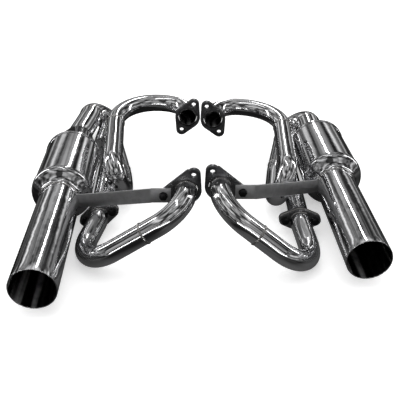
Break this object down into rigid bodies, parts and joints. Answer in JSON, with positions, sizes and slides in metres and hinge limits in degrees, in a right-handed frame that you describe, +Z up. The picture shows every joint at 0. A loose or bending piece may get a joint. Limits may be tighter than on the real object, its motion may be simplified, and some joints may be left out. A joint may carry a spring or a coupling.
{
  "type": "racing exhaust system",
  "caption": "Paired polished header banks, each with bent primaries, a merge collector, a round muffler, a plain open tail tip and a support strap.",
  "frame": {"origin": "centre of the bottom face of the bounding box, on the surface the two banks lie on", "axes": "+X from the left bank to the right bank, -Y toward the open tail tips, +Z up from the surface"},
  "size_m": [0.6538, 0.7352, 0.1678],
  "materials": {
    "polished_stainless": "mirror-polished stainless tube",
    "shell_stainless": "polished rolled sheet with faint lengthwise grain",
    "plated_flange": "dark satin plate",
    "plated_strap": "satin flat bar",
    "black_fastener": "black oxide hex fastener",
    "fibre_gasket": "pressed fibre gasket sheet",
    "core_steel": "punched steel tube",
    "glass_packing": "needled glass wool packing"
  },
  "bodies": {
    "left_bank": {"left_front_port_flange": "plated_flange", "left_front_arch_tube": "polished_stainless", "left_front_hook_tube": "polished_stainless", "left_front_return_tube": "polished_stainless", "left_rear_port_flange": "plated_flange", "left_rear_sweep_tube": "polished_stainless", "left_rear_hook_tube": "polished_stainless", "left_joint_flange_lower": "plated_flange", "left_joint_flange_upper": "plated_flange", "left_joint_gasket": "fibre_gasket", "left_joint_bolt_inner": "black_fastener", "left_joint_nut_inner": "black_fastener", "left_joint_bolt_outer": "black_fastener", "left_joint_nut_outer": "black_fastener", "left_rear_riser_tube": "polished_stainless", "left_merge_collector": "polished_stainless", "left_sensor_boss": "polished_stainless", "left_return_bend": "polished_stainless", "left_muffler_inlet_tube": "polished_stainless", "left_tail_tip": "polished_stainless", "left_front_end_cap": "polished_stainless", "left_muffler_shell": "shell_stainless", "left_rear_end_cap": "polished_stainless", "left_perforated_core": "core_steel", "left_packing_sleeve": "glass_packing", "left_inlet_cone": "polished_stainless", "left_strap_bracket": "plated_flange", "left_support_strap": "plated_strap", "left_strap_bolt": "black_fastener", "left_strap_nut": "black_fastener"},
    "right_bank": {"right_front_port_flange": "plated_flange", "right_front_arch_tube": "polished_stainless", "right_front_hook_tube": "polished_stainless", "right_front_return_tube": "polished_stainless", "right_rear_port_flange": "plated_flange", "right_rear_sweep_tube": "polished_stainless", "right_rear_hook_tube": "polished_stainless", "right_joint_flange_lower": "plated_flange", "right_joint_flange_upper": "plated_flange", "right_joint_gasket": "fibre_gasket", "right_joint_bolt_inner": "black_fastener", "right_joint_nut_inner": "black_fastener", "right_joint_bolt_outer": "black_fastener", "right_joint_nut_outer": "black_fastener", "right_rear_riser_tube": "polished_stainless", "right_merge_collector": "polished_stainless", "right_sensor_boss": "polished_stainless", "right_return_bend": "polished_stainless", "right_muffler_inlet_tube": "polished_stainless", "right_tail_tip": "polished_stainless", "right_front_end_cap": "polished_stainless", "right_muffler_shell": "shell_stainless", "right_rear_end_cap": "polished_stainless", "right_perforated_core": "core_steel", "right_packing_sleeve": "glass_packing", "right_inlet_cone": "polished_stainless", "right_strap_bracket": "plated_flange", "right_support_strap": "plated_strap", "right_strap_bolt": "black_fastener", "right_strap_nut": "black_fastener"}
  },
  "joints": [
    {"name": "bank_spacing", "type": "slide", "parent": "left_bank", "child": "right_bank", "axis": [1, 0, 0], "range_m": [0, 0.4]}
  ]
}
